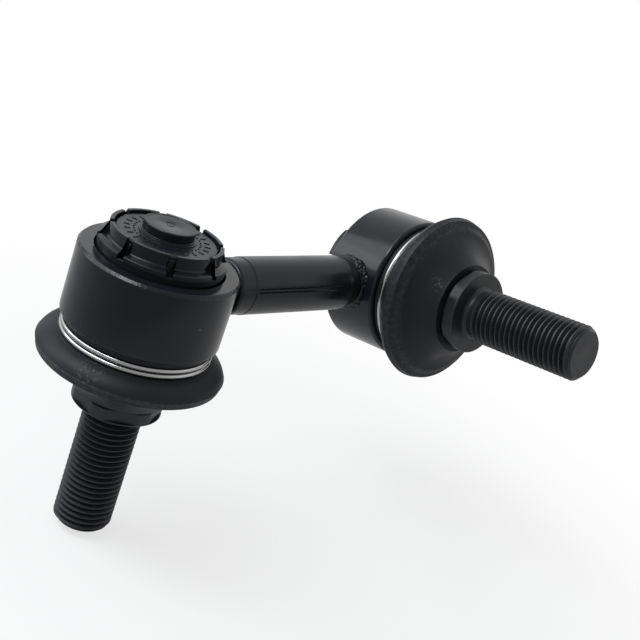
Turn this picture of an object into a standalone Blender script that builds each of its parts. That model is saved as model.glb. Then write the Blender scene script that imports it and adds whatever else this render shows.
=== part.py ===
"""Stabilizer link: a short bar with a ball joint at each end. Blender 4.5, metres, +Z up.

The origin is the centre of ball A. +X runs along the bar to the centre of ball B.
At joint A the cap looks up and the stud points down. Joint B is the same joint,
turned about the bar by TWIST_DEG, so its stud points towards -Y.

Every joint piece is drawn in its joint's own frame: the ball's centre is at the origin,
heights are counted towards the cap and depths towards the stud's threaded end.
"""
import math

import bmesh
import bpy
from mathutils import Matrix

# Link
SPAN = 0.071                    # centre of ball A to centre of ball B
TWIST_DEG = 101.0               # joint B is turned this far about the bar
ROD_RADIUS = 0.006
ROD_NECK_RADIUS = 0.0044        # turned-down end that is welded to the housing
ROD_NECK_LENGTH = 0.00325       # from the housing's side to the bar's shoulder
ROD_EDGE_ROUND = 0.00135
SWAGE_RADIUS = 0.00618          # pressed ring mark at the bar's A end
SWAGE_LENGTH = 0.00395
ROD_END_OVERLAP = 0.00225         # length of bar cut away to fit the housing's round side
WELD_RADIUS = 0.00595
WELD_WIDTH = 0.001             # weld metal standing out from the housing's side
WELD_ROUND = 0.00045
WELD_OVERLAP = 0.0034            # length of weld metal cut away to fit the housing's side

# Ball stud
BALL_RADIUS = 0.009
STUD_NECK_RADIUS = 0.00485
SHANK_RADIUS = 0.00675            # round land that the boot's ring turns on
SHANK_TOP = 0.0185              # depth where the land starts
SHANK_CONE = 0.0019             # the neck widens to the land over this length
HEX_ACROSS_FLATS = 0.017
HEX_CORNER_RADIUS = 0.00935
HEX_FACE_RADIUS = 0.0091        # flat of the seat face, inside the corner chamfer
HEX_CHAMFER = 0.0003
HEX_TOP = 0.0221                # depth of the face behind the boot's lip
HEX_THICKNESS = 0.0033
UNDERCUT_RADIUS = 0.0051
UNDERCUT_LENGTH = 0.0018
UNDERCUT_FILLET = 0.0011         # round between the seat face and the undercut
THREAD_RADIUS = 0.006           # M12, drawn at its outside diameter
THREAD_LENGTH = 0.026
THREAD_CHAMFER = 0.001
STUD_TURN_DEG = {"a": 30.0, "b": 22.0}

# Housing
HOUSING_RADIUS = 0.0158
HOUSING_TOP = 0.00665            # height of the top face
HOUSING_TOP_ROUND = 0.00095
HOUSING_BOTTOM = 0.008         # depth where the full diameter ends
HOUSING_BOTTOM_ROUND = 0.00085
HOUSING_WALL = 0.00305          # between the bore and the side
SPIGOT_STEP = 0.00315           # from the side in to the groove that the boot's collar sits in
SPIGOT_LENGTH = 0.0036
SPIGOT_LIP = 0.00034             # lip that keeps the boot's collar on
SPIGOT_LIP_WIDTH = 0.0007
SPIGOT_WALL = 0.00125            # at the spigot's end, round the stud's opening
SHELF_WIDTH = 0.00305            # inward shelf that the seat rests on
SEAT_GROOVE_DEPTH = 0.0006      # ring groove in the bore that holds the seat
SEAT_GROOVE_HALF = 0.0017

# Ball seat with its snap fingers
SEAT_BOTTOM = 0.00585            # depth of the seat's lower face
SEAT_LIP = 0.0045                # depth where the bearing sphere ends
SEAT_MOUTH_WALL = 0.00295        # seat wall at its mouth, where the stud swings
PAD_INSET = 0.00017             # from the bore in to the pads' outer face
PAD_BOTTOM = 0.0079
PAD_TOP = 0.00855
PAD_FLARE_HEIGHT = 0.00135       # hollow slope from the pad up to the finger
FINGER_INSET = 0.00175          # from the bore in to the fingers' outer face
FINGER_WALL = 0.0008
FINGER_TOP = 0.0117
FINGER_EDGE = 0.00023
FINGER_COUNT = 8
FINGER_SLOT = 0.00115
PAD_SLOT = 0.0017
FINGER_TURN_DEG = 14.0
SEAT_STEP = 0.0078              # height of the step under the plug

# Locking plug
PLUG_TOP = 0.0112
PLUG_ROUND = 0.00075
BOSS_RADIUS = 0.00505
BOSS_TOP = 0.0136
BOSS_CHAMFER = 0.00023
BOSS_RING = 0.00051             # low ring round the foot of the boss
BOSS_RING_HEIGHT = 0.00034

# Dust boot
BOOT_WALL = 0.0009              # collar wall under the clip
BOOT_BEAD = 0.0008              # bead height over the collar, above the clip
BOOT_BEAD_WIDTH = 0.00045
BOOT_RADIUS = 0.0186
BOOT_RIM_DEPTH = 0.01475
BOOT_RIM_WIDTH = 0.0009
BOOT_THICKNESS = 0.0016
BOOT_RIDGE_RADIUS = 0.01635
BOOT_RIDGE_DEPTH = 0.0169
BOOT_DISH_RADIUS = 0.01095       # inside of the boot where the dish turns in to the lip
BOOT_LIP_WALL = 0.00115
BOOT_EDGE = 0.00023

# Wire clip, two turns side by side
WIRE_RADIUS = 0.00052
WIRE_PITCH = 0.00115
CLIP_START_DEG = 118.0
CLIP_JOG_DEG = 50.0
CLIP_END_GAP_DEG = 14.0

# Steel ring inside the boot's lip
RING_WALL = 0.00115
RING_WIDTH = 0.0017

GAP = 0.00034                    # clearance between faces that touch on the real link
SEGMENTS = 28                   # facets round the housing, seat, plug and boot
BAR_SEGMENTS = 24               # facets round the bar, studs and small rings
WIRE_SIDES = 6
WIRE_STEP_DEG = 15.0
MERGE = 0.000001

HEX_BOTTOM = HEX_TOP + HEX_THICKNESS
THREAD_START = HEX_BOTTOM + UNDERCUT_LENGTH
STUD_END = THREAD_START + THREAD_LENGTH
BORE_RADIUS = HOUSING_RADIUS - HOUSING_WALL
SPIGOT_RADIUS = HOUSING_RADIUS - SPIGOT_STEP
SPIGOT_LIP_RADIUS = SPIGOT_RADIUS + SPIGOT_LIP
SPIGOT_END = HOUSING_BOTTOM + SPIGOT_LENGTH
MOUTH_RADIUS = SPIGOT_RADIUS - SPIGOT_WALL
THROAT_RADIUS = BORE_RADIUS - SHELF_WIDTH
ROD_SHOULDER = HOUSING_RADIUS + ROD_NECK_LENGTH
SOCKET_RADIUS = BALL_RADIUS + GAP
SEAT_RADIUS = BORE_RADIUS - GAP
SEAT_MOUTH_RADIUS = SEAT_RADIUS - SEAT_MOUTH_WALL
PAD_RADIUS = BORE_RADIUS - PAD_INSET
FINGER_RADIUS = BORE_RADIUS - FINGER_INSET
PLUG_RADIUS = FINGER_RADIUS - FINGER_WALL - GAP
PLUG_BOTTOM = SEAT_STEP + GAP
COLLAR_RADIUS = SPIGOT_RADIUS + GAP + BOOT_WALL
CLIP_RADIUS = COLLAR_RADIUS + GAP + WIRE_RADIUS
CLIP_TOP = HOUSING_BOTTOM + GAP + BOOT_BEAD_WIDTH
CLIP_WIDTH = WIRE_PITCH + 2 * WIRE_RADIUS
RING_INNER = SHANK_RADIUS + GAP
RING_OUTER = RING_INNER + RING_WALL
BOOT_END = HEX_TOP - GAP
RING_TOP = BOOT_END - RING_WIDTH


def arc(centre_r, centre_z, radius, start_deg, end_deg, steps):
    """Points along a round stretch of an outline, both ends included."""
    points = []
    for i in range(steps + 1):
        angle = math.radians(start_deg + (end_deg - start_deg) * i / steps)
        points.append((centre_r + radius * math.cos(angle), centre_z + radius * math.sin(angle)))
    return points


def angle_at_height(radius, height):
    """Elevation in degrees of the point of a sphere's outline at this height."""
    return math.degrees(math.asin(height / radius))


def angle_at_radius(sphere_radius, radius):
    """Elevation in degrees of the point of a sphere's outline at this distance from its axis."""
    return math.degrees(math.acos(radius / sphere_radius))


def turned(name, outline, solid=False, segments=SEGMENTS):
    """Turns (radius, height) points about Z. A solid's outline starts and ends on the axis."""
    bm = bmesh.new()
    verts = [bm.verts.new((radius, 0.0, height)) for radius, height in outline]
    edges = [bm.edges.new(pair) for pair in zip(verts, verts[1:])]
    if not solid:
        edges.append(bm.edges.new((verts[-1], verts[0])))
    bmesh.ops.spin(bm, geom=verts + edges, cent=(0, 0, 0), axis=(0, 0, 1), angle=math.tau,
                   steps=segments, use_merge=True)
    bmesh.ops.remove_doubles(bm, verts=bm.verts, dist=MERGE)
    bmesh.ops.recalc_face_normals(bm, faces=bm.faces)
    mesh = bpy.data.meshes.new(name)
    bm.to_mesh(mesh)
    bm.free()
    return mesh


def material(name, color, roughness, metallic):
    """A plain Principled material with the part's own colour."""
    mat = bpy.data.materials.new(name)
    mat.use_nodes = True
    shader = mat.node_tree.nodes["Principled BSDF"]
    shader.inputs["Base Color"].default_value = (*color, 1.0)
    shader.inputs["Roughness"].default_value = roughness
    shader.inputs["Metallic"].default_value = metallic
    return mat


def place(name, mesh, mat, parent):
    """Puts a mesh in the scene as one named piece, shaded smooth between sharp edges."""
    mesh.materials.append(mat)
    mesh.shade_smooth()
    mesh.set_sharp_from_angle(angle=math.radians(35))
    obj = bpy.data.objects.new(name, mesh)
    obj.parent = parent
    bpy.context.collection.objects.link(obj)
    return obj


def cut(obj, mesh, parent):
    """Cuts a shape out of a piece with a hidden cutter object."""
    cutter = bpy.data.objects.new(mesh.name, mesh)
    cutter.parent = parent
    cutter.hide_render = True
    cutter.display_type = "WIRE"
    bpy.context.collection.objects.link(cutter)
    modifier = obj.modifiers.new(mesh.name, "BOOLEAN")
    modifier.operation = "DIFFERENCE"
    modifier.object = cutter


def empty(name, location, turn_deg):
    """The frame of one ball joint, with its origin at the ball's centre."""
    frame = bpy.data.objects.new(name, None)
    frame.location = location
    frame.rotation_euler = (math.radians(turn_deg), 0.0, 0.0)
    frame.empty_display_size = BALL_RADIUS
    bpy.context.collection.objects.link(frame)
    return frame


def housing_mesh(name):
    """Steel ring round the seat: rounded rims, a throat under the seat, a spigot for the boot."""
    bottom_round_r = HOUSING_RADIUS - HOUSING_BOTTOM_ROUND
    groove_top = SEAT_GROOVE_HALF
    groove_radius = BORE_RADIUS + SEAT_GROOVE_DEPTH
    throat_top = -(SEAT_BOTTOM + GAP)
    lip_top = -(SPIGOT_END - SPIGOT_LIP_WIDTH)
    outline = [(BORE_RADIUS, HOUSING_TOP - GAP), (BORE_RADIUS + GAP, HOUSING_TOP)]
    outline += arc(HOUSING_RADIUS - HOUSING_TOP_ROUND, HOUSING_TOP - HOUSING_TOP_ROUND,
                   HOUSING_TOP_ROUND, 90, 0, 3)
    outline += arc(bottom_round_r, -HOUSING_BOTTOM + HOUSING_BOTTOM_ROUND,
                   HOUSING_BOTTOM_ROUND, 0, -90, 2)
    outline += [(SPIGOT_RADIUS, -HOUSING_BOTTOM),
                (SPIGOT_RADIUS, lip_top + GAP),
                (SPIGOT_LIP_RADIUS, lip_top),
                (SPIGOT_LIP_RADIUS, -SPIGOT_END),
                (MOUTH_RADIUS, -SPIGOT_END),
                (THROAT_RADIUS, throat_top),
                (BORE_RADIUS, throat_top),
                (BORE_RADIUS, -groove_top),
                (groove_radius, -groove_top),
                (groove_radius, groove_top),
                (BORE_RADIUS, groove_top)]
    return turned(name, outline)


def seat_mesh(name):
    """Plastic socket that wraps the ball, with the flared foot and ring of the snap fingers."""
    ridge_radius = BORE_RADIUS + SEAT_GROOVE_DEPTH - GAP
    ridge_half = SEAT_GROOVE_HALF - GAP
    lead_in = ridge_radius - SEAT_RADIUS
    finger_inner = FINGER_RADIUS - FINGER_WALL
    flare_width = PAD_RADIUS - FINGER_RADIUS
    flare = [(0.35, 0.3), (0.08, 0.7), (0.0, 1.0)]
    outline = [(SEAT_MOUTH_RADIUS, -SEAT_BOTTOM),
               (SEAT_RADIUS - GAP, -SEAT_BOTTOM),
               (SEAT_RADIUS, -SEAT_BOTTOM + GAP),
               (SEAT_RADIUS, -ridge_half - lead_in),
               (ridge_radius, -ridge_half),
               (ridge_radius, ridge_half),
               (SEAT_RADIUS, ridge_half),
               (SEAT_RADIUS, PAD_BOTTOM),
               (PAD_RADIUS, PAD_BOTTOM),
               (PAD_RADIUS, PAD_TOP)]
    outline += [(FINGER_RADIUS + flare_width * out, PAD_TOP + PAD_FLARE_HEIGHT * up)
                for out, up in flare]
    outline += [(FINGER_RADIUS, FINGER_TOP - FINGER_EDGE),
                (FINGER_RADIUS - FINGER_EDGE, FINGER_TOP),
                (finger_inner, FINGER_TOP),
                (finger_inner, SEAT_STEP)]
    outline += arc(0, 0, SOCKET_RADIUS, angle_at_height(SOCKET_RADIUS, SEAT_STEP),
                   -angle_at_height(SOCKET_RADIUS, SEAT_LIP), 6)
    return turned(name, outline)


def boxes_mesh(name, inner, outer, width, low, high):
    """A ring of separate boxes, one at each finger slot."""
    bm = bmesh.new()
    size = Matrix.Diagonal((outer - inner, width, high - low, 1.0))
    middle = Matrix.Translation(((inner + outer) / 2, 0.0, (low + high) / 2))
    for i in range(FINGER_COUNT):
        turn = Matrix.Rotation(math.radians(FINGER_TURN_DEG) + math.tau * i / FINGER_COUNT, 4, "Z")
        bmesh.ops.create_cube(bm, size=1.0, matrix=turn @ middle @ size)
    mesh = bpy.data.meshes.new(name)
    bm.to_mesh(mesh)
    bm.free()
    return mesh


def plug_mesh(name):
    """Round plug between the fingers, with a boss on top and a hollow over the ball's pole."""
    edge = PLUG_RADIUS - PLUG_ROUND
    ring_radius = BOSS_RADIUS + BOSS_RING
    outline = [(0.0, BOSS_TOP),
               (BOSS_RADIUS - BOSS_CHAMFER, BOSS_TOP),
               (BOSS_RADIUS, BOSS_TOP - BOSS_CHAMFER),
               (BOSS_RADIUS, PLUG_TOP + BOSS_RING_HEIGHT),
               (ring_radius, PLUG_TOP + BOSS_RING_HEIGHT),
               (ring_radius, PLUG_TOP)]
    outline += arc(edge, PLUG_TOP - PLUG_ROUND, PLUG_ROUND, 90, 0, 2)
    outline += [(PLUG_RADIUS, PLUG_BOTTOM)]
    outline += arc(0, 0, SOCKET_RADIUS, angle_at_height(SOCKET_RADIUS, PLUG_BOTTOM), 90, 3)
    return turned(name, outline, solid=True)


def boot_mesh(name):
    """Rubber boot: bead and collar on the spigot, mushroom rim, dish and lip on the stud."""
    inner = SPIGOT_RADIUS + GAP
    lip_clear = SPIGOT_LIP_RADIUS + GAP
    bead_radius = COLLAR_RADIUS + BOOT_BEAD
    top = -(HOUSING_BOTTOM + GAP)
    groove_top = -CLIP_TOP
    groove_bottom = -(CLIP_TOP + GAP + CLIP_WIDTH + GAP)
    spigot_lip_top = -(SPIGOT_END - SPIGOT_LIP_WIDTH)
    rim_z = -BOOT_RIM_DEPTH
    ridge_z = -BOOT_RIDGE_DEPTH
    lip_radius = RING_OUTER + GAP + BOOT_LIP_WALL
    ring_z = -(RING_TOP - GAP)
    outline = [(inner, top),
               (bead_radius, top),
               (bead_radius, groove_top + BOOT_EDGE),
               (COLLAR_RADIUS, groove_top),
               (COLLAR_RADIUS, groove_bottom)]
    crown_steps = 4
    for i in range(crown_steps + 1):
        swing = math.pi / 2 * i / crown_steps
        outline.append((bead_radius + (BOOT_RADIUS - bead_radius) * math.sin(swing),
                        rim_z + (groove_bottom - rim_z) * math.cos(swing)))
    outline += [(BOOT_RADIUS - BOOT_EDGE, rim_z - BOOT_RIM_WIDTH),
                ((BOOT_RADIUS + BOOT_RIDGE_RADIUS) / 2, ridge_z + 2 * BOOT_EDGE),
                (BOOT_RIDGE_RADIUS, ridge_z)]
    dish = [(0.3, 0.1), (0.6, 0.35), (0.85, 0.7), (1.0, 1.0)]
    outline += [(BOOT_RIDGE_RADIUS + (lip_radius - BOOT_RIDGE_RADIUS) * across,
                 ridge_z - (BOOT_END - BOOT_RIDGE_DEPTH) * down) for across, down in dish]
    outline += [(RING_OUTER + GAP, -BOOT_END),
                (RING_OUTER + GAP, ring_z),
                (RING_INNER + GAP, ring_z),
                (RING_INNER + GAP, ring_z + BOOT_LIP_WALL),
                (BOOT_DISH_RADIUS, ridge_z),
                (BOOT_RIDGE_RADIUS - BOOT_THICKNESS, ridge_z + BOOT_THICKNESS),
                (BOOT_RADIUS - BOOT_THICKNESS, rim_z),
                (BOOT_RADIUS - 2 * BOOT_THICKNESS, rim_z + BOOT_THICKNESS),
                (lip_clear, -(SPIGOT_END + GAP)),
                (lip_clear, spigot_lip_top + GAP),
                (inner, spigot_lip_top + 2 * GAP)]
    return turned(name, outline)


def ring_mesh(name):
    """Steel ring that keeps the boot's lip round on the stud's land."""
    edge = RING_WALL / 5
    outline = [(RING_INNER, -RING_TOP), (RING_OUTER - edge, -RING_TOP),
               (RING_OUTER, -RING_TOP - edge), (RING_OUTER, -BOOT_END), (RING_INNER, -BOOT_END)]
    return turned(name, outline, segments=BAR_SEGMENTS)


def clip_mesh(name):
    """Two turns of round wire: one turn, a short jog to the next groove line, one turn."""
    jog_start = 360.0 - CLIP_JOG_DEG
    total = 720.0 - CLIP_JOG_DEG - CLIP_END_GAP_DEG
    steps = round(total / WIRE_STEP_DEG)
    first_depth = CLIP_TOP + GAP + WIRE_RADIUS
    bm = bmesh.new()
    rings = []
    for i in range(steps + 1):
        turn_deg = total * i / steps
        part = min(max((turn_deg - jog_start) / CLIP_JOG_DEG, 0.0), 1.0)
        depth = first_depth + WIRE_PITCH * part * part * (3 - 2 * part)
        turn = Matrix.Rotation(math.radians(CLIP_START_DEG + turn_deg), 4, "Z")
        ring = []
        for k in range(WIRE_SIDES):
            side = math.tau * k / WIRE_SIDES
            point = (CLIP_RADIUS + WIRE_RADIUS * math.cos(side), 0.0,
                     -depth + WIRE_RADIUS * math.sin(side), 1.0)
            ring.append(bm.verts.new((turn @ Matrix.Translation(point[:3])).to_translation()))
        rings.append(ring)
    for first, second in zip(rings, rings[1:]):
        for k in range(WIRE_SIDES):
            following = (k + 1) % WIRE_SIDES
            bm.faces.new((first[k], first[following], second[following], second[k]))
    bm.faces.new(rings[0])
    bm.faces.new(rings[-1])
    bmesh.ops.recalc_face_normals(bm, faces=bm.faces)
    mesh = bpy.data.meshes.new(name)
    bm.to_mesh(mesh)
    bm.free()
    return mesh


def stud_mesh(name):
    """Ball, neck, land for the boot ring, collar, undercut and M12 shank in one turned piece."""
    neck_deg = angle_at_radius(BALL_RADIUS, STUD_NECK_RADIUS)
    outline = arc(0, 0, BALL_RADIUS, 90, -neck_deg, 9)
    outline[0] = (0.0, BALL_RADIUS)
    outline += [(STUD_NECK_RADIUS, -(SHANK_TOP - SHANK_CONE)),
                (SHANK_RADIUS, -SHANK_TOP),
                (SHANK_RADIUS, -HEX_TOP),
                (HEX_FACE_RADIUS, -HEX_TOP),
                (HEX_CORNER_RADIUS, -(HEX_TOP + HEX_CHAMFER)),
                (HEX_CORNER_RADIUS, -(HEX_BOTTOM - HEX_CHAMFER)),
                (HEX_FACE_RADIUS, -HEX_BOTTOM)]
    outline += arc(UNDERCUT_RADIUS + UNDERCUT_FILLET, -(HEX_BOTTOM + UNDERCUT_FILLET),
                   UNDERCUT_FILLET, 90, 180, 2)
    outline += [(UNDERCUT_RADIUS, -THREAD_START),
                (THREAD_RADIUS, -(THREAD_START + THREAD_CHAMFER)),
                (THREAD_RADIUS, -(STUD_END - THREAD_CHAMFER)),
                (THREAD_RADIUS - THREAD_CHAMFER, -STUD_END),
                (0.0, -STUD_END)]
    return turned(name, outline, solid=True, segments=BAR_SEGMENTS)


def hex_cutter_mesh(name, turn_deg):
    """A tall ring with a hexagonal hole: what it takes away leaves the collar's six flats."""
    apothem = HEX_ACROSS_FLATS / 2
    inner = apothem / math.cos(math.pi / 6)
    outer = inner * 2
    low = -(HEX_BOTTOM + HEX_CHAMFER)
    high = -(HEX_TOP - HEX_CHAMFER)
    bm = bmesh.new()
    loops = []
    for radius, height in ((inner, low), (outer, low), (outer, high), (inner, high)):
        loop = []
        for i in range(6):
            angle = math.radians(turn_deg) + math.tau * i / 6
            loop.append(bm.verts.new((radius * math.cos(angle), radius * math.sin(angle), height)))
        loops.append(loop)
    for first, second in zip(loops, loops[1:] + loops[:1]):
        for i in range(6):
            following = (i + 1) % 6
            bm.faces.new((first[i], first[following], second[following], second[i]))
    bmesh.ops.recalc_face_normals(bm, faces=bm.faces)
    mesh = bpy.data.meshes.new(name)
    bm.to_mesh(mesh)
    bm.free()
    return mesh


def lay_along_x(mesh):
    """Turns a mesh made about Z so that its axis runs along +X."""
    mesh.transform(Matrix.Rotation(math.radians(90), 4, "Y"))
    return mesh


def rod_mesh(name):
    """The bar: welded necks, rounded shoulders and the pressed ring mark at the A end."""
    a_shoulder = ROD_SHOULDER
    b_shoulder = SPAN - ROD_SHOULDER
    swage_end = a_shoulder + SWAGE_LENGTH
    step = SWAGE_RADIUS - ROD_RADIUS
    a_end = HOUSING_RADIUS - ROD_END_OVERLAP
    b_end = SPAN - a_end
    outline = [(0.0, a_end), (ROD_NECK_RADIUS, a_end), (ROD_NECK_RADIUS, a_shoulder)]
    outline += arc(SWAGE_RADIUS - ROD_EDGE_ROUND, a_shoulder + ROD_EDGE_ROUND,
                   ROD_EDGE_ROUND, -90, 0, 3)
    outline += [(SWAGE_RADIUS, swage_end), (ROD_RADIUS, swage_end + 2 * step)]
    outline += arc(ROD_RADIUS - ROD_EDGE_ROUND, b_shoulder - ROD_EDGE_ROUND,
                   ROD_EDGE_ROUND, 0, 90, 3)
    outline += [(ROD_NECK_RADIUS, b_shoulder),
                (ROD_NECK_RADIUS, b_end),
                (0.0, b_end)]
    return lay_along_x(turned(name, outline, solid=True, segments=BAR_SEGMENTS))


def weld_mesh(name, toward_b):
    """Ring of weld metal round the bar's neck, before the housing's side is cut out of it."""
    inner = ROD_NECK_RADIUS + GAP
    crest = HOUSING_RADIUS + WELD_WIDTH
    foot = HOUSING_RADIUS - WELD_OVERLAP
    outline = [(inner, foot), (WELD_RADIUS, foot)]
    outline += arc(WELD_RADIUS - WELD_ROUND, crest - WELD_ROUND, WELD_ROUND, 0, 90, 2)
    outline += [(inner, crest)]
    if toward_b:
        outline = [(radius, SPAN - along) for radius, along in outline]
    return lay_along_x(turned(name, outline, segments=BAR_SEGMENTS))


def housing_cutter_mesh(name):
    """Cylinder a gap wider than the housing, with its facets in line with the housing's."""
    radius = HOUSING_RADIUS + GAP
    half = HOUSING_RADIUS
    outline = [(0.0, half), (radius, half), (radius, -half), (0.0, -half)]
    return turned(name, outline, solid=True)


for old in list(bpy.data.objects):
    bpy.data.objects.remove(old, do_unlink=True)

painted_steel = material("black_painted_steel", (0.03, 0.03, 0.032), 0.35, 0.6)
bar_steel = material("black_painted_bar", (0.035, 0.035, 0.037), 0.32, 0.6)
weld_metal = material("painted_weld", (0.04, 0.04, 0.042), 0.45, 0.6)
seat_plastic = material("black_seat_plastic", (0.025, 0.025, 0.027), 0.4, 0.0)
plug_plastic = material("black_plug_plastic", (0.03, 0.03, 0.032), 0.38, 0.0)
boot_rubber = material("black_boot_rubber", (0.03, 0.03, 0.031), 0.5, 0.0)
clip_wire = material("bright_clip_wire", (0.75, 0.75, 0.74), 0.2, 1.0)
ring_steel = material("plain_ring_steel", (0.45, 0.45, 0.46), 0.4, 1.0)
stud_steel = material("dark_stud_steel", (0.05, 0.05, 0.053), 0.38, 0.7)

bar_frame = empty("bar_frame", (0.0, 0.0, 0.0), 0.0)
rod = place("rod", rod_mesh("rod"), bar_steel, bar_frame)
for side, ball_x, turn_deg in (("a", 0.0, 0.0), ("b", SPAN, -TWIST_DEG)):
    joint = empty(f"joint_{side}", (ball_x, 0.0, 0.0), turn_deg)
    place(f"housing_{side}", housing_mesh(f"housing_{side}"), painted_steel, joint)
    seat = place(f"ball_seat_{side}", seat_mesh(f"ball_seat_{side}"), seat_plastic, joint)
    slot_inner = PLUG_RADIUS + GAP / 2
    slot_outer = PAD_RADIUS + FINGER_SLOT
    cut(seat, boxes_mesh(f"finger_slots_{side}", slot_inner, slot_outer, FINGER_SLOT,
                         PAD_BOTTOM + GAP / 2, FINGER_TOP + FINGER_SLOT), joint)
    cut(seat, boxes_mesh(f"pad_slots_{side}", FINGER_RADIUS + FINGER_SLOT / 2, slot_outer,
                         PAD_SLOT, PAD_BOTTOM - GAP / 2, PAD_TOP + FINGER_SLOT), joint)
    place(f"lock_plug_{side}", plug_mesh(f"lock_plug_{side}"), plug_plastic, joint)
    place(f"dust_boot_{side}", boot_mesh(f"dust_boot_{side}"), boot_rubber, joint)
    place(f"wire_clip_{side}", clip_mesh(f"wire_clip_{side}"), clip_wire, joint)
    place(f"boot_ring_{side}", ring_mesh(f"boot_ring_{side}"), ring_steel, joint)
    stud = place(f"ball_stud_{side}", stud_mesh(f"ball_stud_{side}"), stud_steel, joint)
    cut(stud, hex_cutter_mesh(f"hex_flats_{side}", STUD_TURN_DEG[side]), joint)
    bead = place(f"weld_bead_{side}", weld_mesh(f"weld_bead_{side}", side == "b"), weld_metal,
                 bar_frame)
    cut(bead, housing_cutter_mesh(f"bead_seat_{side}"), joint)
    cut(rod, housing_cutter_mesh(f"rod_seat_{side}"), joint)
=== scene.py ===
# %% [markdown]
# # A stabilizer link, dressed for its picture
# The link is a short painted bar with a ball joint welded to each end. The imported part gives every
# piece its place and its size. This lesson gives the pieces their fine surfaces: rounded edges,
# snap fingers, rolled threads, rubber that bends, and paint that looks like paint.
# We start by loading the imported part, because every later piece is fitted to it.

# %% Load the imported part
import math

import bmesh
import bpy
from mathutils import Matrix, Vector, noise


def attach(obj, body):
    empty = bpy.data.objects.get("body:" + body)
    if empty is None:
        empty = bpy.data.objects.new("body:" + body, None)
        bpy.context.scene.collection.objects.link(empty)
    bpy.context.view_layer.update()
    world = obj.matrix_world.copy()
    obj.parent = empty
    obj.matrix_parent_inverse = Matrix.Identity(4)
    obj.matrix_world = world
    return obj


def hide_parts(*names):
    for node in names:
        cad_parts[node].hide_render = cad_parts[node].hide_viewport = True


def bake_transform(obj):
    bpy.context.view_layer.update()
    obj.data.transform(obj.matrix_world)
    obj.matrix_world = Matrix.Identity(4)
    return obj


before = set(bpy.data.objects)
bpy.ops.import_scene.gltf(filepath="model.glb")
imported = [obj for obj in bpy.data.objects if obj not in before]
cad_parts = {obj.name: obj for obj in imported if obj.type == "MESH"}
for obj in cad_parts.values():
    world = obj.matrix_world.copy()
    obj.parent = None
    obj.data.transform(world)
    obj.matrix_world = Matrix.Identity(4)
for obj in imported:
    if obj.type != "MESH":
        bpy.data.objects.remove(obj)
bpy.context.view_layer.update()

# %% [markdown]
# ## One drawing, two joints
# Both ball joints are the same product, so each piece is drawn once, in a frame of its own: the
# ball's centre is at the origin, the cap is up and the stud points down. Joint A stands that way
# in the part too. Joint B sits at the other end of the bar, turned about it.
#
# A photograph gives proportions and no millimetres, so the outlines are drawn in drawing units,
# with 63 units between the two balls. The threads then give the scale: they are M12 with a pitch
# of 1.25 mm, which makes the distance 71 mm. A matrix for each joint carries the drawing to its
# place and turns drawing units into metres.

# %% The two joint frames
SPAN = 63.0
BALL_TO_BALL = 0.071
TWIST_DEG = 101.0
UNIT = BALL_TO_BALL / SPAN
TO_METRES = Matrix.Scale(UNIT, 4)
TO_BALL_B = TO_METRES @ Matrix.Translation((SPAN, 0, 0))
JOINTS = {
    "a": TO_METRES,
    "bar_b": TO_BALL_B,
    "b": TO_BALL_B @ Matrix.Rotation(math.radians(-TWIST_DEG), 4, "X"),
}
print("ball B is at", [round(v * 1000, 1) for v in JOINTS["b"].translation], "mm")

# %% [markdown]
# ## Outlines with rounded corners
# Turned and moulded parts have no knife edges: each corner carries a small radius, and the radius
# catches the light. An outline is written as a few corners, each with its own fillet, and
# the first helper replaces each corner by an arc. It also adds a point close to each end of the
# arc, so that smooth shading stays flat on the straight stretches beside it. Two more helpers draw
# an arc about the ball's centre and a smooth curve, and a last one keeps a number in its limits.

# %% Fillets, arcs and smooth curves for outlines
GUARD = 0.05


def rounded(corners, closed=False, step_deg=15.0):
    """Turns corners (radius, height, fillet) into an outline with arcs."""
    points = []
    count = len(corners)
    for i, corner in enumerate(corners):
        here = Vector(corner[:2])
        fillet = corner[2] if len(corner) > 2 else 0.0
        at_end = not closed and i in (0, count - 1)
        if fillet == 0.0 or at_end:
            points.append(tuple(here))
            continue
        back = Vector(corners[i - 1][:2]) - here
        ahead = Vector(corners[(i + 1) % count][:2]) - here
        half = back.angle(ahead) / 2
        reach = fillet / math.tan(half)
        to_back, to_ahead = back.normalized(), ahead.normalized()
        centre = here + (to_back + to_ahead).normalized() * fillet / math.sin(half)
        first = here + to_back * reach - centre
        turn = first.angle_signed(here + to_ahead * reach - centre)
        steps = max(2, math.ceil(abs(math.degrees(turn)) / step_deg))
        guard = min(GUARD, fillet / 2)
        if back.length > reach + 3 * guard:
            points.append(tuple(here + to_back * (reach + guard)))
        for k in range(steps + 1):
            points.append(tuple(centre + Matrix.Rotation(-turn * k / steps, 2) @ first))
        if ahead.length > reach + 3 * guard:
            points.append(tuple(here + to_ahead * (reach + guard)))
    return points


def arc(radius, degrees):
    """Points of a circle about the ball's centre, at these angles above the level."""
    return [(radius * math.cos(math.radians(a)), radius * math.sin(math.radians(a)))
            for a in degrees]


def flowing(points, per_span=6):
    """A smooth curve through points, for rubber and other shapes with no straight stretch."""
    padded = [points[0]] + list(points) + [points[-1]]
    curve = []
    for i in range(1, len(padded) - 2):
        p0, p1, p2, p3 = (Vector(padded[i + k]) for k in (-1, 0, 1, 2))
        for k in range(per_span):
            t = k / per_span
            squared = (2 * p0 - 5 * p1 + 4 * p2 - p3) * t * t
            cubed = (3 * p1 - p0 - 3 * p2 + p3) * t ** 3
            curve.append(tuple(0.5 * (2 * p1 + (p2 - p0) * t + squared + cubed)))
    curve.append(tuple(points[-1]))
    return curve


def clamped(value, low=0.0, high=1.0):
    """The value, kept between low and high."""
    return min(max(value, low), high)


print("a square corner becomes", len(rounded([(0, 0), (5, 0, 1), (5, 5)])), "points")

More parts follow.
